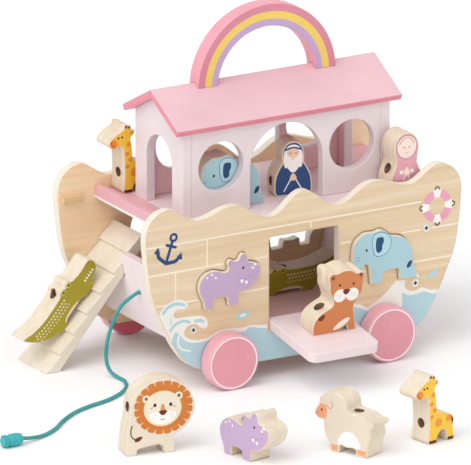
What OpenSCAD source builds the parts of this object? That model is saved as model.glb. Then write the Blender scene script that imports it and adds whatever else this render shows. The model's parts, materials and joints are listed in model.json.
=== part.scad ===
// Wooden ark on wheels with a cabin, a stair ramp, a drop-down side door, a pull cord and animal blocks.
// Frame: +X to the stern, -Y to the near side, +Z up. Origin on the floor, midway between the wheels.
// Units are millimetres.

/* [Hull] */
// Length of the side panels
hull_l = 320; // [290:1:360]
// Width over the outer faces of the side panels
hull_w = 166; // [150:1:190]
// Thickness of the side panels
panel_t = 9; // [8:0.5:12]
// Height of the panels' bottom edge above the floor
keel_z = 16.5; // [13:0.5:18]
// Height of the lowest dip in the wavy rail
rail_z = 148; // [146:1:156]
// Length of the straight bottom edge
keel_l = 200; // [190:1:215]
// Height of the rail's end crests above its lowest dip
crest_h = 22.5; // [14:0.5:30]

/* [Floors and end walls] */
// Height of the hold floor's top face
floor_z = 44; // [43:0.5:47]
// Thickness of the hold floor
floor_t = 9; // [6:0.5:11]
// Height of the deck's top face
deck_z = 144; // [140:0.5:145]
// Thickness of the deck
deck_t = 7; // [5:0.5:10]
// Distance from the hull's bow end to the deck
deck_bow_inset = 37; // [34:1:44]
// Height of the strip along the deck's bow edge
strip_h = 5; // [3:0.5:7]
// Width of the strip
strip_w = 6; // [4:0.5:8]
// Distance from the hull's stern end to the deck
deck_stern_inset = 8; // [6:1:12]
// Thickness of the two end walls
wall_t = 9; // [8:0.5:12]
// Distance from the middle to an end wall's centre at the hold floor
wall_foot = 109; // [104:1:112]
// Lean of the end walls from upright, in degrees
wall_lean = 12.7; // [10:0.1:14]
// Height of the bow wall's top edge
bow_wall_z = 100; // [97:1:106]
// Depth of the ramp notch below the ramp pin
notch_drop = 13; // [12:0.5:16]
// Length of the battens at the bow
cleat_l = 20; // [14:1:22]
// Height and thickness of the battens
cleat_s = 6; // [4:0.5:8]

/* [Wheels] */
// Distance between the two axles
wheelbase = 160; // [150:1:165]
// Radius of the wheels
wheel_r = 25.4; // [24:0.2:27]
// Thickness of the wheels
wheel_t = 15; // [12:0.5:18]
// Rounding of the wheels' rims
wheel_round = 2; // [1:0.25:3]
// Gap between a wheel and the side panel
wheel_gap = 0.9; // [0.5:0.1:2]
// Radius of the axle dowels
axle_r = 4; // [3:0.25:5]
// Depth of the dowel in the wheel
axle_grip = 10; // [6:0.5:11]
// Radial clearance of everything that turns on a pin
run_gap = 0.08; // [0.03:0.01:0.1]

/* [Side door] */
// Width of the door opening
opening_w = 70.8; // [60:0.5:76]
// Height of the door opening
opening_h = 85.6; // [78:0.2:88]
// Rounding of the opening's top corners
opening_round = 3; // [1:0.5:6]
// Gap round the closed door
door_gap = 0.5; // [0.3:0.1:1]
// Rounding of the door's outer corners
door_round = 8; // [4:0.5:12]
// Radius of the door's pin
door_pin_r = 1.5; // [1:0.1:2]
// Slope of the open door below level, in degrees
door_droop = 8.5; // [4:0.5:10]
// Depth of the hinge pins in their seats
pin_seat = 5; // [4:0.5:6]

/* [Cabin] */
// Length of the cabin
cabin_l = 210; // [200:1:214]
// Width of the cabin
cabin_w = 85; // [78:1:90]
// Distance of the cabin's middle towards the stern
cabin_shift = 5.6; // [3:0.2:8]
// Thickness of the cabin walls
cabin_t = 9; // [7:0.5:11]
// Radius of the round windows
window_r = 22.7; // [16:0.1:24]
// Distance from the cabin's end to a window's centre
window_inset = 38.7; // [36:0.1:42]
// Height of the windows' centres above the deck
window_h = 43.7; // [36:0.1:46]
// Width of the pier between a window and the arch
pier_w = 6.85; // [6:0.05:12]
// Height of the arch's crown above the deck
arch_h = 73.6; // [60:0.2:75]
// Width of the doorway in each gable
doorway_w = 45.2; // [36:0.2:50]
// Height of the doorway's crown above the deck
doorway_h = 66.5; // [58:0.5:74]

/* [Roof and handle] */
// Overhang of the roof past each gable
gable_over = 9; // [5:0.5:13]
// Overhang of the roof past each side wall
eave_over = 7; // [5:0.5:7]
// Height of the ridge above the deck
ridge_h = 110; // [106:0.5:118]
// Pitch of the roof, in degrees
roof_pitch = 28; // [25:0.5:30]
// Thickness of the roof panels
roof_t = 6; // [4:0.5:8]
// Width and depth of the beam under the ridge
beam_s = 16; // [12:0.5:18]
// Outer radius of the rainbow handle
handle_r = 70; // [60:0.5:78]
// Width of the handle's painted band
handle_band = 20.5; // [17:0.5:22]
// Thickness of the handle
handle_t = 16; // [12:0.5:20]
// Depth of the handle's centre below the ridge
handle_drop = 6.6; // [4:0.2:9]
// Radius of the dowels that hold the handle
dowel_r = 3; // [2:0.25:4]
// Height of the dowels in the handle
dowel_grip = 12; // [8:0.5:16]
// Radial clearance of a glued dowel or pin
glue_gap = 0.02; // [0.01:0.01:0.05]

/* [Ramp] */
// Width of the stair ramp
ramp_w = 51; // [45:0.5:64]
// Thickness of the ramp at the step edges
ramp_t = 11; // [9:0.5:12]
// Slope of the ramp, in degrees
ramp_slope = 50.5; // [46:0.5:55]
// Height of the ramp's pin above the floor
ramp_pin_z = 91; // [89:0.5:93]
// Radius of the ramp's pin
ramp_pin_r = 2; // [1.5:0.1:2.2]
// Length of the ramp on the inner side of its pin
ramp_tail = 28; // [20:1:32]
// Number of steps
ramp_steps = 7; // [5:1:9]
// Height of the step edges
step_h = 3; // [2:0.25:3.5]
// Gap on each side of the ramp
ramp_gap = 0.5; // [0.3:0.1:1]

/* [Screws and cord] */
// Radius of the screw heads
head_r = 3.7; // [3:0.1:3.9]
// Thickness of the screw heads
head_t = 2.5; // [2:0.25:3.5]
// Radius of the screw shanks
shank_r = 1.8; // [1.3:0.1:2]
// Length of the shanks in the end walls
screw_bite = 14; // [10:1:18]
// Diameter of the pull cord
cord_d = 3.5; // [3:0.25:3.75]
// Diameter of the bead on the cord
bead_d = 11.5; // [10:0.25:13]
// Length of the bead
bead_l = 19; // [16:0.5:22]
// Diameter of the knot behind the bow wall
knot_d = 9; // [7:0.5:10]

/* [Figures] */
// Thickness of the animals and people
figure_t = 23; // [20:0.5:23.5]
// Diameter of the lacing holes
lace_d = 9; // [7:0.5:10]
// Gap round a figure in its sorting hole
fit_gap = 0.5; // [0.3:0.05:0.7]
// How far a sorted figure stands out of the panel
sort_proud = 4; // [3:0.5:9]

/* [Hidden] */
$fn = 64;
eps = 1;
far = 400;
rest_gap = 0.05;
foot_gap = 0.2;
sort_rest = 0.3;

// Colours
wood = "#e3cfae";
pale_pink = "#efe0e2";
rose = "#f2b3bf";
wheel_pink = "#e39aa7";
steel = "#c9ccd0";
teal = "#3fa3a3";

// Curves through a few points
function turn_point(a, b, c, d, t) =
    0.5 * (2 * b + (c - a) * t + (2 * a - 5 * b + 4 * c - d) * t * t + (3 * b - a - 3 * c + d) * t * t * t);
function closed_curve(p, steps = 3) = [
    for (i = [0 : len(p) - 1], k = [0 : steps - 1])
        turn_point(p[(i + len(p) - 1) % len(p)], p[i], p[(i + 1) % len(p)], p[(i + 2) % len(p)], k / steps)
];
function open_curve(p, steps = 3) = concat([
    for (i = [0 : len(p) - 2], k = [0 : steps - 1])
        turn_point(p[max(i - 1, 0)], p[i], p[i + 1], p[min(i + 2, len(p) - 1)], k / steps)
], [p[len(p) - 1]]);
function unit(v) = v / norm(v);
// A figure's outline is smooth, and cut level under its feet
function outline(p) = [for (q = closed_curve(p)) [q[0], max(q[1], 0)]];
// Each point of a counter-clockwise outline moved outwards by d
function grown(p, d) = [
    for (i = [0 : len(p) - 1])
        let (a = p[(i + len(p) - 1) % len(p)], b = p[(i + 1) % len(p)], t = unit(b - a))
            p[i] + d * [t[1], -t[0]]
];

// Hull
inner_y = hull_w / 2 - panel_t;
outer_y = hull_w / 2;
half_l = hull_l / 2;
// Crests and dips of the rail from the middle to the end: place along the half length, height above the dip
rail_turns = [[0, 19], [0.2125, 0], [0.447, 16], [0.669, 8], [0.8625, crest_h]];
rail_steps = 8;
// The bow and stern edge from the last crest down: distance in from the end, share of the height
edge_turns = [
    [half_l * (1 - rail_turns[4][0]), 1], [12.5, 0.982], [4.4, 0.935], [0.8, 0.875], [0, 0.815], [1.1, 0.735],
    [3.4, 0.603], [8, 0.462], [23, 0.243], [33, 0.13], [44, 0.052], [half_l - keel_l / 2, 0]
];
function rail_half() = [
    for (i = [0 : len(rail_turns) - 2], k = [0 : rail_steps - 1])
        let (a = rail_turns[i], b = rail_turns[i + 1], t = k / rail_steps, s = (1 - cos(180 * t)) / 2)
            [half_l * (a[0] + (b[0] - a[0]) * t), rail_z + a[1] + (b[1] - a[1]) * s]
];
function edge_half() = open_curve([
    for (e = edge_turns) [half_l - e[0], keel_z + e[1] * (rail_z + crest_h - keel_z)]
]);
function hull_half() = concat(rail_half(), edge_half());
function hull_outline() = concat(
    hull_half(),
    [for (i = [len(hull_half()) - 1 : -1 : 1]) [-hull_half()[i][0], hull_half()[i][1]]]
);

// End walls: x of the wall's centre plane at a height, for the stern
function wall_x(z) = wall_foot + (z - floor_z) * tan(wall_lean);
wall_half = wall_t / 2 / cos(wall_lean);
wall_base = floor_z - floor_t;
deck_under = deck_z - deck_t;
deck_x0 = -half_l + deck_bow_inset;
deck_x1 = half_l - deck_stern_inset;
cleat_inset = 3;
screw_places = [[1, 112.8], [1, 63.7], [-1, 56.2]];

// Wheels
axle_x = wheelbase / 2;
axle_l = hull_w + 2 * (wheel_gap + axle_grip);

// Side door
door_t = panel_t;
door_w = opening_w - 2 * door_gap;
door_pin_y = -(outer_y - panel_t / 2);
// The open door lies on the outer edge of the sill
door_lift = (door_t / 2 + rest_gap + door_t / 2 * sin(door_droop)) / cos(door_droop);
door_pin_z = floor_z + door_lift;
door_reach = floor_z + opening_h - door_gap - door_pin_z;
door_pin_l = opening_w + 2 * pin_seat;

// Cabin and roof
cabin_x0 = cabin_shift - cabin_l / 2;
cabin_x1 = cabin_shift + cabin_l / 2;
cabin_y = cabin_w / 2;
window_x = cabin_l / 2 - window_inset;
arch_w = 2 * (window_x - window_r - pier_w);
ridge_z = deck_z + ridge_h;
roof_fall = tan(roof_pitch);
roof_under = ridge_z - roof_t / cos(roof_pitch);
roof_l = cabin_l + 2 * gable_over;
roof_x0 = cabin_x0 - gable_over;
y_eave = cabin_y + eave_over;
function under_z(y) = roof_under - roof_fall * abs(y);
handle_z = ridge_z - handle_drop;
foot_r = handle_r - handle_band / 2;
beam_z = under_z(beam_s / 2) - beam_s / 3;

// Ramp
ramp_pin_x = -wall_x(ramp_pin_z);
ramp_y1 = inner_y - ramp_gap;
ramp_y0 = ramp_y1 - ramp_w;
ramp_foot = (ramp_pin_z + ramp_t / 2 * cos(ramp_slope)) / sin(ramp_slope);
step_l = (ramp_foot + ramp_tail) / ramp_steps;
notch_y = ramp_y0 - ramp_gap;

// Cord: the hole in the bow wall, then points by hand down to the floor and along it
cord_z = 70;
cord_hole_r = cord_d / 2 + 0.3;
cord_mid = [-wall_x(cord_z), 0, cord_z];
cord_out = [-cos(wall_lean), 0, -sin(wall_lean)];
cord_route = concat([cord_mid - wall_t / 2 * cord_out, cord_mid, cord_mid + wall_t * cord_out], [
    [-138, -1, 60], [-147, -2, 47], [-154, -4, 31], [-157, -7, 16], [-156, -12, 6], [-153, -20, 2],
    [-153, -33, 1.8], [-160, -48, 1.8], [-173, -61, 1.8], [-192, -72, 1.8], [-214, -79, 1.8],
    [-234, -88, 1.8], [-254, -103, 1.8], [-272, -120, 1.8], [-290, -131, 2], [-305, -136, 3.6],
    [-316, -138, bead_d / 2]
]);
bead_dir = [-1, -0.06, 0];

// Figures: outlines by hand, x from the left end and z from the feet, as seen from the painted face
hippo_turns = [
    [7, 0], [14.5, 0], [15, 7], [18, 9.5], [28, 8], [30, 1], [32, 0], [40, 0], [40.5, 10], [45, 11.5],
    [50, 12.5], [55, 16], [60, 21], [63, 28], [61.5, 33.5], [56.5, 36.3], [51, 37.5], [49.5, 39.5],
    [48.5, 44.5], [45, 46.3], [42, 44.5], [40.5, 41.4], [37, 40.3], [33, 42.3], [30.5, 41.3], [29.2, 38.5],
    [30.3, 33.5], [27, 31.5], [22, 33], [16.5, 34.6], [10.5, 34], [5.5, 31.5], [2, 27.5], [0.2, 22],
    [1.2, 15], [5, 7], [5.8, 2]
];
elephant_turns = [
    [20, 0], [29, 0], [31, 6], [33, 10], [45, 11], [48, 8], [48.5, 1], [50, 0], [63, 0], [66, 2.5], [64, 8],
    [61.5, 15], [61.8, 24], [57, 34.5], [49.5, 40.3], [41, 42], [36, 45.5], [29.5, 49.5], [21.5, 48],
    [13, 48.3], [4.5, 43], [1.2, 36], [0, 25], [0.6, 17], [4, 13.3], [9.5, 15.2], [13.5, 19.5], [17, 17],
    [18.5, 8], [18.8, 2]
];
giraffe_turns = [
    [15, 0], [23.5, 0], [24.5, 4], [26.3, 8], [30, 11], [34, 10], [35.5, 5], [36.3, 0], [43, 0], [43, 9],
    [42.6, 15], [43.5, 18], [41, 23], [34.5, 26], [26.5, 29], [24.2, 33], [23.3, 43], [22, 50], [25, 53.8],
    [26.3, 57], [22.7, 58], [22, 61.8], [18.5, 63], [15.5, 63.3], [15, 59.7], [8.8, 56.3], [3, 52],
    [0.2, 48.5], [0.8, 45], [5.2, 42.3], [9, 43.6], [14, 43], [15.3, 33], [15.8, 15]
];
lion_turns = [
    [0, 0], [8.5, 0], [10, 5], [18, 7], [28, 8.3], [33, 6], [34.5, 0], [43.5, 0], [43.5, 8], [44, 15.5],
    [50, 19.5], [57, 26], [61.5, 35], [62, 43], [59, 53], [52, 61], [43, 66], [33.5, 67.3], [23, 66],
    [13.5, 61], [6.5, 52.5], [4, 42], [3.5, 34], [1, 22], [0, 10]
];
lioness_turns = [
    [3, 0], [14, 0], [24, 0], [30, 2.2], [34.5, 5.5], [36, 1.1], [38, 0], [43, 0], [43.3, 4.4],
    [41.5, 13.1], [40, 22.9], [43.5, 30], [47.5, 36], [48, 44.7], [48, 52.9], [45, 55.4], [41, 54.7],
    [35, 58.3], [28, 59.2], [21, 57.2], [17, 57.8], [13.5, 56.7], [12.8, 52.9], [14, 46.9], [14.5, 40.3],
    [18, 32.7], [18.5, 26.2], [11.5, 22.3], [5, 18.3], [1, 12.5], [0, 6], [1, 1.1]
];
sheep_turns = [
    [18, 0], [26, 0], [27, 7], [35, 6], [43, 6.5], [44.5, 0.5], [46, 0], [55, 0], [56.5, 6], [58, 14],
    [60.5, 20], [59.5, 26], [63.5, 30], [62, 34], [57.5, 33.5], [52, 36.5], [45, 38], [38, 38.5],
    [34.5, 40], [33.5, 46], [30, 51], [24, 53.5], [17, 53.5], [10.5, 51.5], [5.5, 47], [4.8, 41], [1, 36],
    [0.5, 30.5], [5, 27.5], [9.5, 27], [10, 20], [12, 13], [16, 8], [17, 3]
];
crocodile_turns = [
    [26, 0], [36, 0], [38, 3], [50, 3.5], [62, 3], [66, 0], [76, 0], [78, 4], [83, 5.5], [91, 8.5], [94, 14],
    [92.5, 19.5], [86, 20.5], [78, 20.2], [68, 22], [65.5, 25], [61.5, 25.3], [59.5, 23.5], [56.5, 25.3],
    [52.5, 25], [49, 22.8], [34, 22.5], [22, 23.2], [10, 26.2], [1, 30], [0.5, 26.5], [6, 16], [14, 8],
    [22, 3.5]
];
man_turns = [
    [3, 0], [18, 0], [33, 0], [35.5, 8], [34.5, 18], [31, 26], [28, 31], [28.5, 37], [27.3, 43.5],
    [23.5, 48.5], [18, 50], [12.5, 48.5], [8.7, 43.5], [7.5, 37], [8, 31], [5, 26], [1.5, 18], [0.5, 8]
];
woman_turns = [
    [3, 0], [17, 0], [31, 0], [33, 8], [32.2, 16], [29.8, 22], [27.8, 27.5], [28.4, 33], [29.4, 41],
    [27.8, 48], [23.5, 53.2], [17, 55.2], [10.5, 53.2], [6.2, 48], [4.6, 41], [5.6, 33], [6.2, 27.5],
    [4.2, 22], [1.8, 16], [1, 8]
];
// Lacing holes: an upright one has its x here, a level one its height
hippo_lace = 23;
elephant_lace = 39;
giraffe_lace = 17.5;
lion_lace = 42;
lioness_lace = 11.5;
sheep_lace = 40;
crocodile_lace = 50;
man_lace = 12;
woman_lace = 21.5;
// Left end and feet of each sorting hole; the far panel's holes are seen from outside
hippo_hole = [-108.7, 74.4];
elephant_hole = [46.8, 71];
lion_hole = [24, 60];
sheep_hole = [-113, 60];
// Places of the figures: left end of the painted face, and its angle about Z
lion_place = [-253, -214];
lion_angle = -11;
loose_hippo_place = [-176.4, -241.5];
loose_hippo_angle = -77;
sheep_place = [-98.3, -271.5];
sheep_angle = -66;
giraffe_place = [-24, -318.7];
giraffe_angle = 9.6;
croc_on_ramp = -109;
lioness_x = -16;
lioness_reach = 46.5;
man_place = [3.1, -23.7];
man_angle = -13;
cabin_elephant_x = -77;
hold_croc_tail = 81;
hold_croc_y = -1;
deck_giraffe_x = -121.5;
// Gaps between the figures on board and what they stand beside
walkway_gap = 0.8;
walkway_step = 4.5;
behind_wall = 1;
woman_x = 94.8;

// A flat shape in x and z, given thickness from y0 towards +Y
module slab(y0, t) {
    translate([0, y0 + t, 0]) rotate([90, 0, 0]) linear_extrude(t) children();
}
// A flat shape in y and z, drawn out along X
module bar(x0, l) {
    translate([x0, 0, 0]) rotate([90, 0, 90]) linear_extrude(l) children();
}
// A round rod or hole along Y
module rod_y(x, z, y0, l, r) {
    translate([x, y0 + l, z]) rotate([90, 0, 0]) cylinder(h = l, r = r);
}
// A round rod or hole along X
module rod_x(x0, y, z, l, r) {
    translate([x0, y, z]) rotate([0, 90, 0]) cylinder(h = l, r = r);
}
// An opening with upright sides and a round head, standing on the line z = 0
module arch_shape(w, h) {
    translate([0, h - w / 2]) circle(r = w / 2);
    translate([-w / 2, -eps]) square([w, h - w / 2 + eps]);
}
// A rectangle on the line z = 0 with its two top corners rounded
module door_shape(w, h, r) {
    translate([-w / 2, 0]) square([w, h - r]);
    translate([-w / 2 + r, 0]) square([w - 2 * r, h]);
    for (x = [-1, 1]) translate([x * (w / 2 - r), h - r]) circle(r = r);
}
// The space under the roof's top faces, as a shape in y and z
module roof_space(y) {
    polygon([[-y, ridge_z - roof_fall * y], [0, ridge_z], [y, ridge_z - roof_fall * y], [y, 0], [-y, 0]]);
}

// Hull
module hull_panel(y0, seat_side) {
    difference() {
        slab(y0, panel_t) polygon(hull_outline());
        for (x = [-axle_x, axle_x]) rod_y(x, wheel_r, y0 - eps, panel_t + 2 * eps, axle_r + run_gap);
        for (s = screw_places) {
            rod_y(s[0] * wall_x(s[1]), s[1], y0 - eps, panel_t + 2 * eps, shank_r + glue_gap);
            rod_y(s[0] * wall_x(s[1]), s[1], seat_side < 0 ? y0 - eps : y0 + panel_t - head_t, head_t + eps,
                  head_r + glue_gap);
        }
    }
}
module near_hull_panel() {
    color(wood) difference() {
        hull_panel(-outer_y, -1);
        slab(-outer_y - eps, panel_t + 2 * eps) {
            translate([0, floor_z]) door_shape(opening_w, opening_h, opening_round);
            translate(hippo_hole) polygon(grown(outline(hippo_turns), fit_gap));
            translate(elephant_hole) polygon(grown(outline(elephant_turns), fit_gap));
        }
        rod_x(-door_pin_l / 2, door_pin_y, door_pin_z, door_pin_l, door_pin_r + glue_gap);
    }
}
module far_hull_panel() {
    color(wood) difference() {
        hull_panel(inner_y, 1);
        slab(inner_y - eps, panel_t + 2 * eps) mirror([1, 0]) {
            translate(lion_hole) polygon(grown(outline(lion_turns), fit_gap));
            translate(sheep_hole) polygon(grown(outline(sheep_turns), fit_gap));
        }
        rod_y(ramp_pin_x, ramp_pin_z, inner_y - eps, pin_seat + eps, ramp_pin_r + glue_gap);
    }
}
// A leaning wall between the side panels, for the stern
module end_wall(top_z) {
    slab(-inner_y, 2 * inner_y) polygon([
        [wall_x(wall_base) - wall_half, wall_base], [wall_x(wall_base) + wall_half, wall_base],
        [wall_x(top_z) + wall_half, top_z], [wall_x(top_z) - wall_half, top_z]
    ]);
}
module wall_screw_holes(end) {
    for (s = screw_places, side = [-1, 1]) if (s[0] == end)
        rod_y(end * wall_x(s[1]), s[1], side < 0 ? -inner_y - eps : inner_y - screw_bite, screw_bite + eps,
              shank_r + glue_gap);
}
module bow_wall() {
    color(pale_pink) difference() {
        mirror([1, 0, 0]) end_wall(bow_wall_z);
        translate([-far, notch_y, ramp_pin_z - notch_drop]) cube([far, far, far]);
        rod_y(ramp_pin_x, ramp_pin_z, notch_y - 2 * pin_seat, 2 * pin_seat + eps, ramp_pin_r + glue_gap);
        translate(cord_mid) rotate([0, -90 - wall_lean, 0])
            cylinder(h = 4 * wall_t, r = cord_hole_r, center = true);
        wall_screw_holes(-1);
    }
}
// The stern wall is cut back where the elephant passes through the near panel
module stern_wall() {
    color(pale_pink) difference() {
        end_wall(deck_under);
        wall_screw_holes(1);
        slab(-inner_y - eps, figure_t + 2 * eps)
            translate(elephant_hole) polygon(grown(outline(elephant_turns), fit_gap));
    }
}
module hold_floor() {
    x_low = wall_x(wall_base) - wall_half;
    x_top = wall_x(floor_z) - wall_half;
    color(pale_pink) slab(-inner_y, 2 * inner_y)
        polygon([[-x_low, wall_base], [x_low, wall_base], [x_top, floor_z], [-x_top, floor_z]]);
}
module deck() {
    color(rose) slab(-inner_y, 2 * inner_y) polygon([
        [deck_x0, deck_under], [deck_x1, deck_under], [deck_x1, deck_z], [deck_x0 + strip_w, deck_z],
        [deck_x0 + strip_w, deck_z + strip_h], [deck_x0, deck_z + strip_h]
    ]);
}
module bow_cleats() {
    color(wood) for (side = [-1, 1])
        translate([-half_l + cleat_inset, side < 0 ? -inner_y : inner_y - cleat_s, deck_under])
            cube([cleat_l, cleat_s, cleat_s]);
}
module hull_screws() {
    slot_w = head_r / 3;
    color(steel) for (s = screw_places, side = [-1, 1])
        translate([s[0] * wall_x(s[1]), side * outer_y, s[1]]) rotate([side * 90, 0, 0]) difference() {
            union() {
                cylinder(h = head_t, r = head_r);
                cylinder(h = panel_t + screw_bite, r = shank_r);
            }
            for (turn = [0, 90]) rotate([0, 0, turn])
                translate([-head_r / 2, -slot_w / 2, -eps]) cube([head_r, slot_w, eps + head_t / 2]);
        }
}

// Cabin
module cabin_wall(side) {
    y_in = cabin_y - cabin_t;
    difference() {
        bar(cabin_x0 + cabin_t, cabin_l - 2 * cabin_t) polygon([
            [side * cabin_y, deck_z], [side * y_in, deck_z], [side * y_in, under_z(y_in)],
            [side * cabin_y, under_z(cabin_y)]
        ]);
        slab(side < 0 ? -cabin_y - eps : y_in - eps, cabin_t + 2 * eps) translate([cabin_shift, deck_z]) {
            arch_shape(arch_w, arch_h);
            for (x = [-1, 1]) translate([x * window_x, window_h]) circle(r = window_r);
        }
    }
}
module cabin_near_wall() {
    color(pale_pink) cabin_wall(-1);
}
module cabin_far_wall() {
    color(pale_pink) cabin_wall(1);
}
module gable(x0) {
    difference() {
        bar(x0, cabin_t) polygon([
            [-cabin_y, deck_z], [cabin_y, deck_z], [cabin_y, under_z(cabin_y)], [0, roof_under],
            [-cabin_y, under_z(cabin_y)]
        ]);
        bar(x0 - eps, cabin_t + 2 * eps) translate([0, deck_z]) arch_shape(doorway_w, doorway_h);
    }
}
module cabin_bow_gable() {
    color(pale_pink) gable(cabin_x0);
}
module cabin_stern_gable() {
    color(pale_pink) gable(cabin_x1 - cabin_t);
}
module dowel_holes() {
    for (x = [-1, 1]) translate([cabin_shift + x * foot_r, 0, beam_z - eps])
        cylinder(h = ridge_z + dowel_grip - beam_z + 2 * eps, r = dowel_r + glue_gap);
}
module roof_panel(side) {
    z_eave = ridge_z - roof_fall * y_eave;
    difference() {
        bar(roof_x0, roof_l) polygon([
            [0, ridge_z], [side * y_eave, z_eave],
            [side * (y_eave - roof_t * sin(roof_pitch)), z_eave - roof_t * cos(roof_pitch)], [0, roof_under]
        ]);
        dowel_holes();
    }
}
module roof_near_panel() {
    color(rose) roof_panel(-1);
}
module roof_far_panel() {
    color(rose) roof_panel(1);
}
module ridge_beam() {
    color(wood) difference() {
        bar(cabin_x0 + cabin_t, cabin_l - 2 * cabin_t) polygon([
            [-beam_s / 2, beam_z], [beam_s / 2, beam_z], [beam_s / 2, under_z(beam_s / 2)], [0, roof_under],
            [-beam_s / 2, under_z(beam_s / 2)]
        ]);
        dowel_holes();
    }
}
module rainbow_handle() {
    color(rose) difference() {
        slab(-handle_t / 2, handle_t) translate([cabin_shift, handle_z]) difference() {
            circle(r = handle_r, $fn = 128);
            circle(r = handle_r - handle_band, $fn = 128);
        }
        bar(cabin_shift - far / 2, far) roof_space(y_eave);
        dowel_holes();
    }
}
module handle_dowels() {
    color(wood) for (x = [-1, 1]) translate([cabin_shift + x * foot_r, 0, beam_z])
        cylinder(h = ridge_z + dowel_grip - beam_z, r = dowel_r);
}

// Wheels
module wheel(x, side) {
    arc = [for (a = [0 : 22.5 : 90]) wheel_round * [sin(a), cos(a)]];
    rim = wheel_r - wheel_round;
    profile = concat(
        [[0, 0]], [for (i = [0 : 4]) [rim, wheel_round] + [arc[i][0], -arc[i][1]]],
        [for (i = [4 : -1 : 0]) [rim, wheel_t - wheel_round] + arc[i]], [[0, wheel_t]]
    );
    color(wheel_pink) translate([x, side * (outer_y + wheel_gap), wheel_r]) rotate([-side * 90, 0, 0])
        difference() {
            rotate_extrude() polygon(profile);
            translate([0, 0, -eps]) cylinder(h = axle_grip + eps, r = axle_r + glue_gap);
        }
}
module axle(x) {
    color(wood) rod_y(x, wheel_r, -axle_l / 2, axle_l, axle_r);
}

// Side door, shown open
module on_door() {
    translate([0, door_pin_y, door_pin_z]) rotate([90 + door_droop, 0, 0]) children();
}
module side_door_panel() {
    color(pale_pink) on_door() difference() {
        union() {
            slab(-door_t / 2, door_t) door_shape(door_w, door_reach, door_round);
            rod_x(-door_w / 2, 0, 0, door_w, door_t / 2);
        }
        rod_x(-door_w, 0, 0, 2 * door_w, door_pin_r + run_gap);
    }
}
module door_pin() {
    color(steel) rod_x(-door_pin_l / 2, door_pin_y, door_pin_z, door_pin_l, door_pin_r);
}

// Ramp, shown with its foot on the floor
module on_ramp() {
    translate([ramp_pin_x, 0, ramp_pin_z]) rotate([0, -ramp_slope, 0]) children();
}
module ramp_board() {
    stairs = concat(
        [[-ramp_foot, -ramp_t / 2], [ramp_tail, -ramp_t / 2]],
        [for (i = [ramp_steps - 1 : -1 : 0], k = [1, 0])
            [-ramp_foot + (i + k) * step_l, ramp_t / 2 - k * step_h]]
    );
    color(wood) intersection() {
        on_ramp() difference() {
            slab(ramp_y0, ramp_w) polygon(stairs);
            rod_y(0, 0, ramp_y0 - eps, ramp_w + 2 * eps, ramp_pin_r + run_gap);
        }
        translate([-2 * far, -far, foot_gap]) cube([2 * far, 2 * far, far]);
    }
}
module ramp_pin() {
    y0 = notch_y - 2 * pin_seat;
    color(steel) rod_y(ramp_pin_x, ramp_pin_z, y0, inner_y + pin_seat - y0, ramp_pin_r);
}

// Pull cord: an eight-sided tube swept along the route
cord_sides = 8;
cord_path = open_curve(cord_route, 3);
cord_ways = [
    for (i = [0 : len(cord_path) - 1])
        unit(cord_path[min(i + 1, len(cord_path) - 1)] - cord_path[max(i - 1, 0)])
];
function square_to(n, t) = unit(n - (n * t) * t);
cord_sideways = [
    for (i = 0, n = square_to([0, 1, 0], cord_ways[0]); i < len(cord_ways);
         i = i + 1, n = square_to(n, cord_ways[min(i, len(cord_ways) - 1)])) n
];
function cord_ring(i) = [
    for (k = [0 : cord_sides - 1])
        let (a = 360 * k / cord_sides)
            cord_path[i] + cord_d / 2 * cos(a) * cord_sideways[i]
                + cord_d / 2 * sin(a) * cross(cord_ways[i], cord_sideways[i])
];
module pull_cord() {
    rings = len(cord_path);
    n = cord_sides;
    points = [for (i = [0 : rings - 1]) each cord_ring(i)];
    sides = [
        for (i = [0 : rings - 2], k = [0 : n - 1])
            let (a = i * n + k, b = i * n + (k + 1) % n)
                each [[a, a + n, b], [b, a + n, b + n]]
    ];
    near_cap = [for (k = [1 : n - 2]) [0, k, k + 1]];
    far_cap = [for (k = [1 : n - 2]) (rings - 1) * n * [1, 1, 1] + [0, k + 1, k]];
    color(teal) polyhedron(points, concat(sides, near_cap, far_cap));
}
module cord_bead() {
    belly = 0.8;
    profile = [
        [0, 0], [belly * bead_d / 2, 0], [bead_d / 2, 0.25 * bead_l], [bead_d / 2, 0.6 * bead_l],
        [0.85 * bead_d / 2, 0.66 * bead_l], [0.85 * bead_d / 2, 0.78 * bead_l], [bead_d / 2, 0.82 * bead_l],
        [bead_d / 2, 0.94 * bead_l], [belly * bead_d / 2, bead_l], [0, bead_l]
    ];
    color(teal) translate(cord_route[len(cord_route) - 1])
        rotate([0, 90, atan2(bead_dir[1], bead_dir[0])]) rotate_extrude() polygon(profile);
}
module cord_knot() {
    profile = concat([[0, 0]], [for (a = [0 : 15 : 90]) knot_d / 2 * [cos(a), 1.2 * sin(a)]]);
    color(teal) translate(cord_route[0]) rotate([0, 90 - wall_lean, 0]) rotate_extrude() polygon(profile);
}

// Figures: a flat block with a lacing hole, painted face at y = 0
module block(turns, tint) {
    color(tint) slab(0, figure_t) polygon(outline(turns));
}
module laced_upright(x) {
    difference() {
        children();
        translate([x, figure_t / 2, -eps]) cylinder(h = far, r = lace_d / 2);
    }
}
module laced_level(z) {
    difference() {
        children();
        rod_x(-far / 2, figure_t / 2, z, far, lace_d / 2);
    }
}
module hippo() {
    laced_upright(hippo_lace) block(hippo_turns, "#c3a5cc");
}
module elephant() {
    laced_upright(elephant_lace) block(elephant_turns, "#aed3dd");
}
module giraffe() {
    laced_level(giraffe_lace) block(giraffe_turns, "#f7cf55");
}
module lion() {
    laced_level(lion_lace) block(lion_turns, "#d9762a");
}
module lioness() {
    laced_upright(lioness_lace) block(lioness_turns, "#d6864f");
}
module sheep() {
    laced_upright(sheep_lace) block(sheep_turns, "#ecdfc8");
}
module crocodile() {
    laced_upright(crocodile_lace) block(crocodile_turns, "#9a9a2e");
}
module man() {
    laced_level(man_lace) block(man_turns, "#1f4a7d");
}
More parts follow.
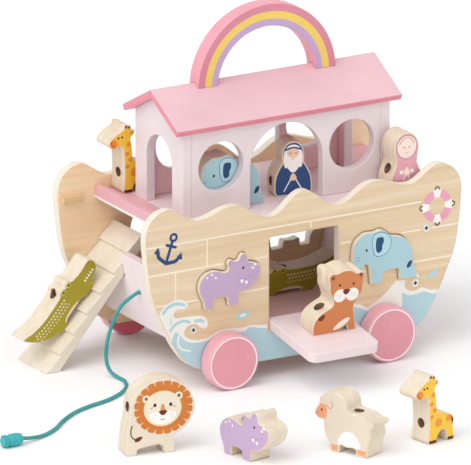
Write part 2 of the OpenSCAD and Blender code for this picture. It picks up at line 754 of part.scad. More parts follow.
module woman() {
    laced_level(woman_lace) block(woman_turns, "#e3a5b3");
}
module stand(place, angle) {
    translate(place) rotate([0, 0, angle]) children();
}

module sorter_hippo() {
    translate([hippo_hole[0], -outer_y - sort_proud, hippo_hole[1] - fit_gap + sort_rest]) hippo();
}
module sorter_elephant() {
    translate([elephant_hole[0], -outer_y - sort_proud, elephant_hole[1] - fit_gap + sort_rest]) elephant();
}
module loose_lion() {
    stand(lion_place, lion_angle) lion();
}
module loose_hippo() {
    stand(loose_hippo_place, loose_hippo_angle) hippo();
}
module loose_sheep() {
    stand(sheep_place, sheep_angle) sheep();
}
module loose_giraffe() {
    stand(giraffe_place, giraffe_angle) giraffe();
}
module deck_giraffe() {
    translate([deck_giraffe_x, inner_y - walkway_gap - figure_t, deck_z + rest_gap]) giraffe();
}
module hooded_woman() {
    translate([woman_x, -cabin_y - walkway_step - figure_t, deck_z + rest_gap]) woman();
}
module bearded_man() {
    translate([man_place[0], man_place[1], deck_z + rest_gap]) rotate([0, 0, man_angle]) man();
}
module cabin_elephant() {
    translate([cabin_elephant_x, -cabin_y + cabin_t + behind_wall, deck_z + rest_gap]) elephant();
}
module hold_crocodile() {
    translate([hold_croc_tail, hold_croc_y, floor_z + rest_gap]) mirror([1, 0, 0]) crocodile();
}
module ramp_crocodile() {
    croc_y = (ramp_y0 + ramp_y1 - figure_t) / 2;
    on_ramp() translate([croc_on_ramp, croc_y, ramp_t / 2 + rest_gap]) crocodile();
}
// The lioness stands on the open door's upper face, her painted face towards its outer edge
module door_lioness() {
    on_door() translate([lioness_x, door_t / 2 + rest_gap, lioness_reach]) rotate([-90, 0, 0]) lioness();
}

near_hull_panel();
far_hull_panel();
bow_wall();
stern_wall();
hold_floor();
deck();
bow_cleats();
hull_screws();
cabin_near_wall();
cabin_far_wall();
cabin_bow_gable();
cabin_stern_gable();
roof_near_panel();
roof_far_panel();
ridge_beam();
rainbow_handle();
handle_dowels();
axle(-axle_x);  // front_axle
axle(axle_x);  // rear_axle
wheel(-axle_x, -1);  // front_near_wheel
wheel(-axle_x, 1);  // front_far_wheel
wheel(axle_x, -1);  // rear_near_wheel
wheel(axle_x, 1);  // rear_far_wheel
side_door_panel();
door_pin();
ramp_board();
ramp_pin();
pull_cord();
cord_bead();
cord_knot();
sorter_hippo();
sorter_elephant();
loose_lion();
loose_hippo();
loose_sheep();
loose_giraffe();
deck_giraffe();
hooded_woman();
bearded_man();
cabin_elephant();
hold_crocodile();
ramp_crocodile();
door_lioness();
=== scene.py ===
"""Looks of a wooden Noah's ark toy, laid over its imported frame."""
import json
import math

import bpy
from mathutils import Matrix, Vector
from mathutils.geometry import delaunay_2d_cdt

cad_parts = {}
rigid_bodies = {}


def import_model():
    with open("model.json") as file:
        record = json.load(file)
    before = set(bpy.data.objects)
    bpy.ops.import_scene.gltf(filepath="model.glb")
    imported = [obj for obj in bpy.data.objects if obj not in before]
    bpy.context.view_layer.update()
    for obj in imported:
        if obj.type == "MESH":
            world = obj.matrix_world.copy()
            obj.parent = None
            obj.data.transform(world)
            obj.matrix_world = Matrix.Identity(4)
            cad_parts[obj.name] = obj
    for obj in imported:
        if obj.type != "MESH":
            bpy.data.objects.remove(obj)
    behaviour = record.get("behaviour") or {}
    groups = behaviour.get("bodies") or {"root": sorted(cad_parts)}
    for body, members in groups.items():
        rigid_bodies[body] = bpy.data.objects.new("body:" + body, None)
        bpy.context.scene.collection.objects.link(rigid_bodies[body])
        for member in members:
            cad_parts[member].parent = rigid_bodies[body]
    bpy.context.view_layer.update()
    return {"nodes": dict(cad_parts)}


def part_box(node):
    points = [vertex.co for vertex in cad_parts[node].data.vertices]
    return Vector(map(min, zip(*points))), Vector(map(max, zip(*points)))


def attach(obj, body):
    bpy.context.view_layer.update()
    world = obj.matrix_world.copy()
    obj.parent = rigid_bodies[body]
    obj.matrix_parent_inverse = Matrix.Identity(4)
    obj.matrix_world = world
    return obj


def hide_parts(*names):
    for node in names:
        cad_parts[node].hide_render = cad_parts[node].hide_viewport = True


MM = 0.001

for old in list(bpy.data.objects):
    bpy.data.objects.remove(old)
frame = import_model()
nodes = frame["nodes"]


# Materials

def linear(code):
    """Linear colour of an sRGB hex code."""
    parts = [int(code[i:i + 2], 16) / 255 for i in (1, 3, 5)]
    return tuple(c / 12.92 if c <= 0.04045 else ((c + 0.055) / 1.055) ** 2.4 for c in parts) + (1.0,)


def deeper(colour, share):
    """A linear colour darkened to a share of itself."""
    return tuple(c * share for c in colour[:3]) + (1.0,)


EASE_SAMPLES = 6


class Look:
    """A material whose nodes are chained by short calls."""

    def __init__(self, name):
        self.material = bpy.data.materials.new(name)
        self.material.use_nodes = True
        self.tree = self.material.node_tree
        self.shader = self.tree.nodes["Principled BSDF"]
        self.coords = self.add("ShaderNodeTexCoord")

    def add(self, kind, **settings):
        """A new node with its settings."""
        node = self.tree.nodes.new(kind)
        for key, value in settings.items():
            setattr(node, key, value)
        return node

    def put(self, value, socket):
        """A socket takes another socket's output or a constant."""
        if isinstance(value, bpy.types.NodeSocket):
            self.tree.links.new(value, socket)
        else:
            socket.default_value = value

    def noise(self, scale, detail=4.0, rough=0.55):
        """Noise over the object's own space, with a scale per metre, for all axes or each."""
        mapping = self.add("ShaderNodeMapping")
        mapping.inputs["Scale"].default_value = scale if isinstance(scale, tuple) else (scale,) * 3
        self.put(self.coords.outputs["Object"], mapping.inputs["Vector"])
        noise = self.add("ShaderNodeTexNoise")
        noise.inputs["Scale"].default_value = 1.0
        noise.inputs["Detail"].default_value = detail
        noise.inputs["Roughness"].default_value = rough
        self.put(mapping.outputs["Vector"], noise.inputs["Vector"])
        return noise.outputs["Fac"]

    def span(self, value, low, high, to_low=0.0, to_high=1.0):
        """A value between low and high, carried over to another range."""
        node = self.add("ShaderNodeMapRange")
        for socket, number in zip(node.inputs[1:5], (low, high, to_low, to_high)):
            socket.default_value = number
        self.put(value, node.inputs["Value"])
        return node.outputs["Result"]

    def calc(self, kind, a, b=0.0):
        """A sum on two values, each a socket or a constant."""
        node = self.add("ShaderNodeMath", operation=kind)
        self.put(a, node.inputs[0])
        self.put(b, node.inputs[1])
        return node.outputs[0]

    def patchy(self, scale, low=0.0, high=1.0):
        """Soft patches between a low and a high value."""
        return self.span(self.noise(scale, 2), 0.3, 0.7, low, high)

    def mix(self, factor, a, b):
        """Colour a turning to b as the factor rises."""
        node = self.add("ShaderNodeMix", data_type="RGBA")
        self.put(factor, node.inputs[0])
        self.put(a, node.inputs[6])
        self.put(b, node.inputs[7])
        return node.outputs[2]

    def normal(self, axis):
        """How far the surface faces along an axis of the object."""
        parts = self.add("ShaderNodeSeparateXYZ")
        self.put(self.coords.outputs["Normal"], parts.inputs[0])
        return parts.outputs[axis]

    def facing(self, axis):
        """How far the surface faces along an axis, either way."""
        return self.calc("ABSOLUTE", self.normal(axis))

    def place(self, axis):
        """Position in millimetres along an axis of the object."""
        parts = self.add("ShaderNodeSeparateXYZ")
        self.put(self.coords.outputs["Object"], parts.inputs[0])
        return self.calc("DIVIDE", parts.outputs[axis], MM)

    def radius(self, x, z):
        """Distance in millimetres from a line along Y."""
        across = self.calc("SUBTRACT", self.place(0), x)
        up = self.calc("SUBTRACT", self.place(2), z)
        square = self.calc("ADD", self.calc("MULTIPLY", across, across), self.calc("MULTIPLY", up, up))
        return self.calc("SQRT", square)

    def near(self, value, middle, half):
        """One within a distance of a middle value, else nothing."""
        node = self.calc("COMPARE", value, middle).node
        node.inputs[2].default_value = half
        return node.outputs[0]

    def bump(self, height, strength, distance, ease=0.0):
        """Fine relief; ease is the radius in millimetres by which the shading rounds sharp edges."""
        node = self.add("ShaderNodeBump")
        if ease:
            rounded = self.add("ShaderNodeBevel", samples=EASE_SAMPLES)
            rounded.inputs["Radius"].default_value = ease * MM
            self.put(rounded.outputs["Normal"], node.inputs["Normal"])
        node.inputs["Strength"].default_value = strength
        node.inputs["Distance"].default_value = distance
        self.put(height, node.inputs["Height"])
        self.put(node.outputs["Normal"], self.shader.inputs["Normal"])

    def finish(self, colour, rough):
        """Gives the shader its colour and roughness."""
        self.put(colour, self.shader.inputs["Base Color"])
        self.put(rough, self.shader.inputs["Roughness"])
        return self.material


GRAIN = {"x": (7, 190, 190), "y": (190, 7, 190), "z": (190, 190, 7)}
GRAIN_DEPTH = 0.4 * MM
PATCH_SHARE = 0.93


def wood(name, light, dark, grain, edge=None, ease=0.0):
    """Bare wood with streaks along an axis; edge is the tone of the surfaces that turn away from Y."""
    look = Look(name)
    along = GRAIN[grain]
    streak = look.noise(along, 5, 0.62)
    tone = look.noise(tuple(s * 0.13 for s in along), 2)
    blend = look.calc("ADD", look.calc("MULTIPLY", streak, 0.55), look.calc("MULTIPLY", tone, 0.45))
    colour = look.mix(look.span(blend, 0.36, 0.66), linear(light), linear(dark))
    if edge:
        colour = look.mix(look.span(look.facing(1), 0.75, 0.5), colour, linear(edge))
    fine = look.noise(tuple(s * 3 for s in along), 3)
    look.bump(fine, 0.12, GRAIN_DEPTH, ease)
    return look.finish(colour, look.span(streak, 0.3, 0.7, 0.48, 0.62))


def mottled(look, code, share=PATCH_SHARE):
    """A painted tone with faint patches."""
    base = linear(code)
    patches = look.span(look.noise(24, 3), 0.35, 0.68)
    return look.mix(patches, base, deeper(base, share))


def satin(look, colour, low=0.36, high=0.5):
    """Satin paint: the wood's grain shows through as a faint relief."""
    look.bump(look.noise((26, 420, 420), 3), 0.07, GRAIN_DEPTH)
    return look.finish(colour, look.patchy(60, low, high))


def paint(name, code):
    """One colour of satin paint."""
    look = Look(name)
    return satin(look, mottled(look, code))


def roof_paint(name):
    """Pink above, deeper on the edges and underneath."""
    look = Look(name)
    up = look.normal(2)
    colour = look.mix(look.span(up, 0.75, 0.6), mottled(look, "#e9c0c8"), mottled(look, "#e38c9a"))
    return satin(look, look.mix(look.span(up, -0.5, -0.7), colour, mottled(look, "#f0a9b7")))


def deck_paint(name):
    """Pink at the bow and stern, paler under the cabin, with a white line low on the ends."""
    look = Look(name)
    under_cabin = look.near(look.place(0), CABIN_MIDDLE, CABIN_HALF)
    colour = look.mix(under_cabin, mottled(look, "#e7b0ba"), mottled(look, "#f1dde0"))
    ends = look.span(look.facing(0), 0.5, 0.6)
    line = look.calc("MULTIPLY", ends, look.calc("LESS_THAN", look.place(2), DECK_LINE_Z))
    return satin(look, look.mix(line, colour, mottled(look, "#fbf2f0")))


def cabin_paint_shade_and_bounce(name):
    """Pale pink outside, a touch darker than the pale paint: painted shade. Deeper, lighter pink on the faces
    that look into the cabin: painted bounce light from the pink roof that lifts their shade.
    """
    look = Look(name)
    across = look.near(look.place(1), 0, CABIN_IN_Y)
    along = look.near(look.place(0), CABIN_MIDDLE, CABIN_IN_X)
    inner_bounce = look.calc("MULTIPLY", across, along)
    return satin(look, look.mix(inner_bounce, mottled(look, "#e9dcde"), mottled(look, "#fad2d5")))


def wheel_paint_and_shade(name, x):
    """Outer face with a thin white ring by its edge, a lighter tread and a deeper inner face: painted shade.
    """
    look = Look(name)
    radius = look.radius(x, AXLE_Z)
    tread = mottled(look, "#ecacb8")
    outer = look.mix(look.calc("GREATER_THAN", radius, RING_R), mottled(look, "#e49aa5"), tread)
    ringed = look.mix(look.near(radius, RING_R, RING_W / 2), outer, linear("#fdf3f3"))
    # Inner faces a deeper red: painted shade under the hull
    inner_shade = look.near(look.place(1), 0, WHEEL_MIDDLE_Y)
    sides = look.mix(inner_shade, ringed, mottled(look, "#ee7686"))
    flat = look.span(look.facing(1), 0.8, 0.95)
    return satin(look, look.mix(flat, tread, sides))


def rainbow_paint(name):
    """Three bands by distance from the arch's centre, and a plain rim."""
    look = Look(name)
    radius = look.radius(*HANDLE_CENTRE)
    colour = mottled(look, "#c4a5cc")
    for start, code in zip(HANDLE_BANDS, ("#f1d062", "#da8a9b")):
        colour = look.mix(look.calc("GREATER_THAN", radius, start), colour, mottled(look, code))
    flat = look.span(look.facing(1), 0.7, 0.85)
    return satin(look, look.mix(flat, mottled(look, "#eea4b1"), colour))


def steel(name, slots=False):
    """Plated steel; the slots of the screw heads are darker: painted shade in the recesses."""
    look = Look(name)
    look.shader.inputs["Metallic"].default_value = 1.0
    tone = look.patchy(900)
    colour = look.mix(tone, linear("#f1ece6"), linear("#d9d3cb"))
    if slots:
        slot_shade = look.calc("LESS_THAN", look.calc("ABSOLUTE", look.place(1)), HEAD_Y)
        colour = look.mix(slot_shade, colour, linear("#4a443e"))
    return look.finish(colour, look.patchy(1500, 0.3, 0.45))


def gloss(name, code):
    """Glossy paint with a faint waviness."""
    look = Look(name)
    look.bump(look.noise(160, 2), 0.04, 0.5 * MM)
    return look.finish(mottled(look, code, 0.85), look.patchy(90, 0.16, 0.28))


def twine(name, code):
    """Dull fibres of a cord."""
    look = Look(name)
    look.bump(look.noise(2400, 3), 0.35, 0.3 * MM)
    return look.finish(mottled(look, code, 0.75), look.patchy(700, 0.6, 0.85))


# Places in millimetres where the painted tones change, painted shade and painted bounce light included
AXLE_Z = 25.4
AXLE_X = 80
RING_R = 22.9
RING_W = 1.1
WHEEL_MIDDLE_Y = 92
CABIN_MIDDLE = 5.6
HANDLE_CENTRE = (CABIN_MIDDLE, 247.4)
HANDLE_BANDS = (56.2, 63.0)
CABIN_HALF = 105
CABIN_IN_X = 96.3
CABIN_IN_Y = 33.8
DECK_LINE_Z = 139.6
HEAD_Y = 82.5

looks = {
    "hull": wood("hull_birch", "#ebd7ba", "#d8bc93", "x", "#eee3d1", 1.5),
    # The hull wood made lighter and warmer on the far panel: painted light that lifts the shade on its inner
    # face in the hold
    "far_hull_brightened": wood("far_hull_birch_brightened", "#fce8c4", "#f0cca2", "x", "#eee3d1", 1.5),
    "block": wood("block_wood", "#ebdfcc", "#dac8ad", "z"),
    # Dark wood for the walls of holes: painted shade in the lacing holes, burn and painted shade in the
    # sorter holes
    "bore": wood("shade_and_burn_wood", "#7a4f30", "#56341f", "z"),
    "ramp": wood("ramp_wood", "#ece4d5", "#e1d3bd", "x"),
    "batten": wood("batten_wood", "#e6c99d", "#d2ae7c", "x"),
    "dowel": wood("dowel_wood", "#ead6b4", "#d3b688", "y"),
    "pale": paint("pale_pink_paint", "#f1e0e3"),
    "cabin": cabin_paint_shade_and_bounce("cabin_paint_shade_and_bounce"),
    # The pale pink made lighter on the bow wall, which faces down and away from the light: painted light
    "bow": paint("bow_paint_lightened", "#fbedf0"),
    # Pinker and lighter on the hold floor: painted pink bounce light that lifts the shade there
    "hold": paint("hold_paint_bounce_light", "#f8d2d0"),
    "deck": deck_paint("deck_paint"),
    "roof": roof_paint("roof_paint"),
    "front_wheel": wheel_paint_and_shade("front_wheel_paint_and_shade", -AXLE_X),
    "rear_wheel": wheel_paint_and_shade("rear_wheel_paint_and_shade", AXLE_X),
    "rainbow": rainbow_paint("rainbow_paint"),
    "screw": steel("screw_steel", True),
    "steel": steel("pin_steel"),
    "bead": gloss("bead_gloss", "#2fb3b8"),
    "cord": twine("cord_twine", "#3fa3a3"),
}
inks = {}


def ink(code):
    """The printing ink of a colour, made once."""
    if code not in inks:
        look = Look("ink_" + code[1:])
        inks[code] = satin(look, mottled(look, code, 0.95), 0.42, 0.55)
    return inks[code]


# Frame pieces: edges eased, with their finish

def stand(name, data):
    """A new object in the scene."""
    thing = bpy.data.objects.new(name, data)
    bpy.context.scene.collection.objects.link(thing)
    return thing


OUTLINE = "bevel_weight_edge"
WELD_REACH = 0.01
FLAT_ANGLE = 0.4
EDGE_ANGLE = 38


def soften(name, width, look):
    """Gives a piece its finish and eases its edges by a width, if any; marked edges alone, if any are."""
    node = nodes[name]
    mesh = node.data
    mesh.materials.clear()
    mesh.materials.append(looks[look])
    if not width:
        return
    for layer in ("custom_normal", "sharp_edge", "sharp_face"):
        if layer in mesh.attributes:
            mesh.attributes.remove(mesh.attributes[layer])
    weld = node.modifiers.new("weld", "WELD")
    weld.merge_threshold = WELD_REACH * MM
    flat = node.modifiers.new("flat", "DECIMATE")
    flat.decimate_type = "DISSOLVE"
    flat.angle_limit = math.radians(FLAT_ANGLE)
    bevel = node.modifiers.new("bevel", "BEVEL")
    bevel.width = width * MM
    bevel.segments = 3
    bevel.limit_method = "WEIGHT" if OUTLINE in mesh.attributes else "ANGLE"
    bevel.angle_limit = math.radians(EDGE_ANGLE)
    bevel.use_clamp_overlap = False
    node.modifiers.new("normals", "WEIGHTED_NORMAL")


FIGURES = {
    "sorter_hippo": "hippo", "sorter_elephant": "elephant", "loose_lion": "lion", "loose_hippo": "hippo",
    "loose_sheep": "sheep", "loose_giraffe": "giraffe", "deck_giraffe": "giraffe", "hooded_woman": "woman",
    "bearded_man": "man", "cabin_elephant": "elephant", "hold_crocodile": "crocodile",
    "ramp_crocodile": "crocodile", "door_lioness": "lioness",
}
# Look, width of the eased edges in millimetres, pieces
PIECES = [
    ("hull", 0, ("near_hull_panel",)),
    ("far_hull_brightened", 0, ("far_hull_panel",)),
    ("pale", 0.8, ("stern_wall", "side_door_panel", "ridge_beam")),
    ("cabin", 0.8, ("cabin_near_wall", "cabin_far_wall", "cabin_bow_gable", "cabin_stern_gable")),
    ("bow", 0.8, ("bow_wall",)),
    ("hold", 0.8, ("hold_floor",)),
    ("deck", 0.8, ("deck",)),
    ("batten", 0.5, ("bow_cleats",)),
    ("roof", 0.9, ("roof_near_panel", "roof_far_panel")),
    ("rainbow", 1.0, ("rainbow_handle",)),
    ("front_wheel", 1.4, ("front_near_wheel", "front_far_wheel")),
    ("rear_wheel", 1.4, ("rear_near_wheel", "rear_far_wheel")),
    ("dowel", 0.4, ("front_axle", "rear_axle", "handle_dowels")),
    ("ramp", 0.7, ("ramp_board",)),
    ("screw", 0.2, ("hull_screws",)),
    ("steel", 0.2, ("door_pin", "ramp_pin")),
    ("bead", 0.9, ("cord_bead",)),
    ("block", 0.9, tuple(FIGURES)),
]


# Flat shapes in millimetres: x to the right, z up

END_BULGE = 0.85
NO_LENGTH = 1e-9
SHARPEST = 0.35
KEPT_CLEAR = 0.97


def turn_point(a, b, c, d, t):
    """Point of a smooth curve between b and c."""
    first = 2 * b + (c - a) * t
    return 0.5 * (first + (2 * a - 5 * b + 4 * c - d) * t ** 2 + (3 * b - a - 3 * c + d) * t ** 3)


def poly(*points):
    """Outline with straight sides."""
    return [Vector(p) for p in points]


def pairs(loop):
    """Each point of a closed outline with the next."""
    return zip(loop, loop[1:] + loop[:1])


def curve(points, steps=6):
    """Smooth open curve through points."""
    p = poly(*points)
    ends = [2 * p[0] - p[1]] + p + [2 * p[-1] - p[-2]]
    line = [turn_point(*ends[i:i + 4], k / steps) for i in range(len(p) - 1) for k in range(steps)]
    return line + [p[-1]]


def blob(points, steps=5):
    """Smooth closed outline through points."""
    p = poly(*points)
    n = len(p)
    return [
        turn_point(p[i - 1], p[i], p[(i + 1) % n], p[(i + 2) % n], k / steps)
        for i in range(n) for k in range(steps)
    ]


def oval(x, z, rx, rz=None, tilt=0.0, count=28):
    """Round or oval outline, turned by an angle in degrees."""
    rz = rx if rz is None else rz
    spin = Matrix.Rotation(math.radians(tilt), 2)
    turns = [2 * math.pi * i / count for i in range(count)]
    return [Vector((x, z)) + spin @ Vector((rx * math.cos(a), rz * math.sin(a))) for a in turns]


def round_end(one, end, other, out):
    """Three points that round off the end of a line."""
    return [(one + end) / 2 + END_BULGE * out, end + out, (other + end) / 2 + END_BULGE * out]


def stroke(points, width, taper=1.0):
    """A brush line along a smooth curve with round ends; taper is the end's share of the width."""
    line = curve(points)
    count = len(line) - 1
    left, right = [], []
    for i, p in enumerate(line):
        way = (line[min(i + 1, count)] - line[max(i - 1, 0)]).normalized()
        half = width / 2 * (1 + (taper - 1) * i / count)
        side = Vector((-way.y, way.x)) * half
        left.append(p + side)
        right.append(p - side)
    start = (line[0] - line[1]).normalized() * width / 2
    end = (line[-1] - line[-2]).normalized() * width * taper / 2
    tip = round_end(right[-1], line[-1], left[-1], end)
    tail = round_end(left[0], line[0], right[0], start)
    return right + tip + left[::-1] + tail


def arc_band(x, z, inner, outer, start, end, count=10):
    """Part of a ring between two angles in degrees."""
    turns = [math.radians(start + (end - start) * i / count) for i in range(count + 1)]
    near = [Vector((x + inner * math.cos(a), z + inner * math.sin(a))) for a in turns]
    far = [Vector((x + outer * math.cos(a), z + outer * math.sin(a))) for a in turns]
    return far + near[::-1]


def area(loop):
    """Area within an outline, negative for a clockwise one."""
    return sum(a.x * b.y - b.x * a.y for a, b in pairs(loop)) / 2


def reach(point, loop):
    """Distance from a point to a closed outline."""
    best = math.inf
    for a, b in pairs(loop):
        way = b - a
        share = max(0.0, min(1.0, (point - a).dot(way) / max(way.length_squared, NO_LENGTH)))
        best = min(best, (point - a - way * share).length)
    return best


def inset(loop, d):
    """A counter-clockwise outline moved inwards, without the points that would cross over."""
    moved = []
    count = len(loop)
    for i, p in enumerate(loop):
        before = (p - loop[i - 1]).normalized()
        after = (loop[(i + 1) % count] - p).normalized()
        first = Vector((-before.y, before.x))
        second = Vector((-after.y, after.x))
        moved.append(p + d * (first + second) / max(1 + first.dot(second), SHARPEST))
    return [p for p in moved if reach(p, loop) > KEPT_CLEAR * abs(d)]


# Prints: thin plates of ink on a flat face

# Slack and ink heights in millimetres
FACE_SLACK = 0.06
INK_SUNK = 0.05
INK_LIFT = 0.07
INK_STEP = 0.03
MEETING = 1e-4


def seen_from(name, place):
    """Vertices of a piece in millimetres, in the axes of a place."""
    back = place.inverted()
    return [back @ (v.co / MM) for v in nodes[name].data.vertices]


def flat_key(p):
    """Place on a face, rounded so that points that meet agree."""
    return (round(p.x, 2), round(p.z, 2))


def rim(rings):
    """Edges of rings that no neighbour shares, in order."""
    edges = {}
    for ring in rings:
        for a, b in pairs(ring):
            if (b, a) in edges:
                del edges[(b, a)]
            else:
                edges[(a, b)] = True
    return list(edges)


def face_loops(name, place):
    """Outlines of a piece's flat face at y = 0 of a place: the outer one first, then the holes."""
    local = seen_from(name, place)
    flat = [f for f in nodes[name].data.polygons if all(abs(local[i].y) < FACE_SLACK for i in f.vertices)]
    steps = dict(rim([[flat_key(local[i]) for i in f.vertices] for f in flat]))
    loops = []
    while steps:
        start, here = steps.popitem()
        loop = [start]
        while here != start:
            loop.append(here)
            here = steps.pop(here)
        points = poly(*loop)
        loops.append(points if area(points) > 0 else points[::-1])
    return sorted(loops, key=area, reverse=True)


def clip(shape, region):
    """Triangles of a shape that lie on a region and clear of its holes."""
    points, faces = [], []
    for loop in [shape] + region:
        loop = loop if area(loop) > 0 else loop[::-1]
        faces.append(list(range(len(points), len(points) + len(loop))))
        points += loop
    found = delaunay_2d_cdt(points, [], faces, 1, MEETING)
    kept = [f for f, ids in zip(found[2], found[5]) if 0 in ids and 1 in ids and max(ids) < 2]
    return found[0], kept


def stack_height(shape, laid):
    """Level of a new plate, just above the earlier plates that its box meets."""
    xs = [p.x for p in shape]
    zs = [p.y for p in shape]
    box = (min(xs), max(xs), min(zs), max(zs))
    under = [h for b, h in laid if b[0] < box[1] and box[0] < b[1] and b[2] < box[3] and box[2] < b[3]]
    height = min(under, default=-INK_LIFT) - INK_STEP
    laid.append((box, height))
    return height


def prints(name, place, region, sheets, body):
    """Plates of ink, each a colour and a shape, or no shape for the whole face; later ones lie on top."""
    verts, faces, marks = [], [], []
    used, laid = [], []
    flip = place.determinant() < 0
    for code, shape in sheets:
        points, triangles = clip(shape or region[0], region)
        if code not in used:
            used.append(code)
        top = stack_height(shape or region[0], laid)
        start = len(verts)
        verts += [place @ Vector((p.x, top, p.y)) * MM for p in points]
        verts += [place @ Vector((p.x, INK_SUNK, p.y)) * MM for p in points]
        low = start + len(points)
        for t in triangles:
            faces.append([start + i for i in t])
            faces.append([low + i for i in reversed(t)])
        faces += [[start + b, start + a, low + a, low + b] for a, b in rim(list(t) for t in triangles)]
        marks += [used.index(code)] * (len(faces) - len(marks))
    keep = sorted({i for f in faces for i in f})
    index = {old: new for new, old in enumerate(keep)}
    faces = [[index[i] for i in (reversed(f) if flip else f)] for f in faces]
    mesh = bpy.data.meshes.new(name)
    mesh.from_pydata([verts[i] for i in keep], [], faces)
    for code in used:
        mesh.materials.append(ink(code))
    mesh.polygons.foreach_set("material_index", marks)
    piece = stand(name, mesh)
    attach(piece, body)


DARK = "#2b1a16"
NOSE = "#6b1907"
CREAM = "#f3e6cc"
WHITE = "#fbf6f0"
SKIN = "#f3cfae"


def eye(x, z, r=1.0):
    """A dark eye, a little taller than wide."""
    return (DARK, oval(x, z, r, r * 1.2, 0, 14))


def dots(code, r, places):
    """Small round dots of one ink."""
    return [(code, oval(x, z, r, None, 0, 12)) for x, z in places]


def lion_print():
    """A lobed mane with pale notches, a face and a tail."""
    middle = Vector((33.3, 42))
    lobes = 20
    ear, whisker = "#7d5a44", "#8a7266"
    mane = []
    for i, p in enumerate(oval(0, 0, 27, 24.6, 0, 12 * lobes)):
        swell = abs(math.sin(math.pi * i / 12)) ** 0.5
        mane.append(middle + p * (0.94 + 0.06 * swell))
    sheets = [("#e8dbc5", None), ("#d27826", mane)]
    for out in oval(0, 0, 27, 24.6, 0, lobes):
        notch = [middle + out * share for share in (1.0, 0.92, 0.84)]
        sheets.append((CREAM, stroke(notch, 0.9, 0.35)))
    sheets += [
        (CREAM, oval(17.8, 50.8, 3.6)), (CREAM, oval(47.4, 51.3, 3.6)),
        (ear, oval(17.6, 51.0, 1.5)), (ear, oval(47.6, 51.5, 1.5)),
        ("#f2dcb2", oval(32.6, 41, 17.4, 16.2)), ("#efe4cd", oval(32.6, 41.2, 16.2, 15.0)),
        (WHITE, blob([(20.5, 36), (26, 38.5), (32.6, 36.5), (39, 38.5), (45, 36), (41.5, 29), (32.6, 26.6),
                      (24, 29)])),
        ("#d99a54", blob([(30.6, 38.5), (31.6, 44.5), (33.8, 44.6), (35.3, 38.5), (33, 37)])),
        (NOSE, blob([(29.3, 38.7), (32.9, 39.5), (36.5, 38.7), (35.4, 36.2), (32.9, 34.8), (30.3, 36.2)])),
        (whisker, stroke([(31, 31.5), (32.6, 30.7), (34.2, 31.5)], 0.7)),
        eye(25.5, 44.6, 1.45), eye(40, 44.1, 1.45),
    ]
    for x, way in ((22.6, 1), (43.2, -1)):
        sheets.append(("#b98d5a", stroke([(x - 1.4, 42.2 - 0.5 * way), (x + 1.4, 42.2 + 0.5 * way)], 0.7)))
    sheets += dots(whisker, 0.4, [(26, 35), (24, 33.4), (39.2, 35), (41.4, 35.6), (40.8, 33.2)])
    sheets.append(("#5a3a22", stroke([(4.6, 27.6), (3.4, 22.5), (4.4, 17.4), (8, 14.8)], 1.1)))
    sheets.append((NOSE, blob([(6.6, 13.6), (9.3, 16.6), (14, 17), (12.6, 14.2), (9.6, 12.6)])))
    return sheets


def hippo_print():
    """Ears, a mouth line with two teeth, and pale dots."""
    ear = "#a585b4"
    return [
        ("#c3a8c8", None),
        (ear, stroke([(41.8, 41.2), (43, 44.4), (45.6, 44.6)], 0.7)),
        (ear, stroke([(30.8, 38.4), (31.6, 40.4), (33.4, 40.9)], 0.7)),
        ("#b08fbe", stroke([(41.5, 23.5), (46, 22.4), (51, 24.2), (56, 25.4)], 0.7)),
        (WHITE, oval(56.7, 34.4, 1.7, 1.1, -20)), (WHITE, oval(54.4, 31.6, 1.5, 1.0, -20)),
        (WHITE, blob([(42, 22.4), (44.6, 22.2), (44.2, 19.6), (42.6, 19.6)])),
        (WHITE, blob([(46.6, 20.4), (49.2, 20.4), (48.8, 17.8), (47.2, 17.8)])),
        eye(44.7, 33, 1.1),
        *dots("#f2e6f2", 1.15, [(13, 31.4), (8.3, 29.3), (16.9, 28)]),
    ]


def elephant_print():
    """An outlined ear with a dark patch, a tail tip and trunk lines."""
    fold = "#6f9fb0"
    ear = blob([(19.8, 38.8), (20.8, 31.8), (22.4, 26.4), (27.4, 24.7), (34.4, 26.6), (39, 31.8),
                (39.2, 39.8), (35, 45.2), (28, 47.4), (21.4, 45.1)])
    patch = blob([(24.5, 41.4), (27.9, 42.6), (31.5, 41.6), (31.7, 37.6), (30.3, 34.5), (29.9, 30.6),
                  (27.3, 28.4), (24.5, 29.8), (23.7, 35)])
    return [
        ("#abcfd8", None),
        ("#3f7f9f", ear), ("#b6dae3", inset(ear, 0.6)),
        ("#00436f", patch),
        ("#003d68", blob([(55.2, 10.8), (57.2, 15.4), (60.6, 16), (59.6, 11.8), (57, 9.8)])),
        (fold, stroke([(4, 27.3), (6.8, 27)], 0.6)), (fold, stroke([(4, 24.5), (6.6, 24.2)], 0.6)),
        eye(14.4, 32.4, 1.1),
    ]


def giraffe_print():
    """Orange spots and muzzle, dark horns, tail and hooves."""
    horn, hoof = "#8a4a22", "#4a2410"
    spots = [(25.9, 18.7, 4.2), (37.6, 20.6, 3.4), (20, 45, 2.3), (18.2, 36.6, 2.2), (21.8, 30.6, 2.3),
             (18.6, 25, 2.2)]
    return [
        ("#fac83a", None),
        *[("#ee952f", oval(x, z, r, r * 0.9, 20)) for x, z, r in spots],
        ("#f08d2e", oval(4.1, 47.2, 4.6, 4.2)),
        (DARK, oval(2.6, 48.2, 0.7)), (DARK, oval(4.6, 45.6, 0.7)),
        (horn, oval(17, 61.6, 1.7, 1.4)), (horn, oval(20.8, 60.8, 1.6, 1.4)),
        ("#d99a2e", oval(23.4, 55.4, 1.6, 1.1, 20)),
        (hoof, blob([(40.4, 23), (42.6, 20), (43, 14.5), (41.2, 14.8), (40.6, 19)])),
        (hoof, poly((12, -1), (46, -1), (46, 3.4), (12, 3.4))),
        ("#c98a2a", stroke([(8.8, 46), (10.6, 45.2)], 0.5)),
        eye(9.6, 52.2, 0.95), eye(13.2, 52.4, 0.95),
    ]


